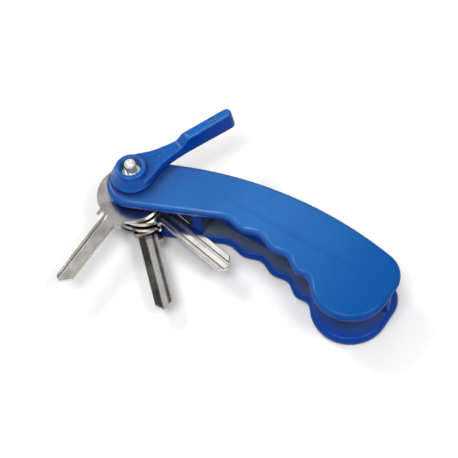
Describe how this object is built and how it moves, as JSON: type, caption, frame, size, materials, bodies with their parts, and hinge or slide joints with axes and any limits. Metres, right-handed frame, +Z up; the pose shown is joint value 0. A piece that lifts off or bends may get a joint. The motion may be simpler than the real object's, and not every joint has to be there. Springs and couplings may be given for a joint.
{
  "type": "key organiser",
  "caption": "Key organiser: a curved I-beam handle with finger scallops, whose front fork holds swing-out key blanks on a bolt clamped by a lever.",
  "frame": {"origin": "on the pivot bolt's axis, in the plane of the handle's underside", "axes": "+Z up along the bolt towards the lever, +X back along the handle's web towards the butt, the grip side with the finger scallops faces -Y"},
  "size_m": [0.139, 0.1043, 0.0361],
  "materials": {
    "blue_plastic": "semi-gloss moulded plastic, fine mottle",
    "lever_plastic": "semi-gloss moulded plastic",
    "plated_steel": "bright zinc plate",
    "nickel": "bright nickel plate over brass",
    "nylon": "natural nylon"
  },
  "bodies": {
    "handle": {"handle": "blue_plastic", "pivot_bolt": "plated_steel", "upper_spacer": "nylon", "key_washer_1": "plated_steel", "key_washer_2": "plated_steel", "key_washer_3": "plated_steel", "key_washer_4": "plated_steel"},
    "clamp": {"lever_washer": "plated_steel"},
    "lever": {"lever": "lever_plastic", "lever_nut": "plated_steel"},
    "key_left": {"key_left": "nickel"},
    "key_right": {"key_right": "nickel"},
    "key_middle": {"key_middle": "nickel"}
  },
  "joints": [
    {"name": "clamp_travel", "type": "slide", "parent": "handle", "child": "clamp", "axis": [0, 0, 1], "range_m": [-0.0000975, 0.0004]},
    {"name": "lever_turn", "type": "hinge", "parent": "clamp", "child": "lever", "pos_m": [0, 0, 0.0295], "axis": [0, 0, 1], "range_deg": [-44, 180]},
    {"name": "key_left_swing", "type": "hinge", "parent": "handle", "child": "key_left", "pos_m": [0, 0, 0.01635], "axis": [0, 0, 1], "range_deg": [-224, 82]},
    {"name": "key_right_swing", "type": "hinge", "parent": "handle", "child": "key_right", "pos_m": [0, 0, 0.01305], "axis": [0, 0, 1], "range_deg": [-303, 2.5]},
    {"name": "key_middle_swing", "type": "hinge", "parent": "handle", "child": "key_middle", "pos_m": [0, 0, 0.00975], "axis": [0, 0, 1], "range_deg": [-272, 34]}
  ],
  "couplings": [
    {"joint": "lever_turn", "follows": "clamp_travel", "rad_per_m": 7854}
  ]
}
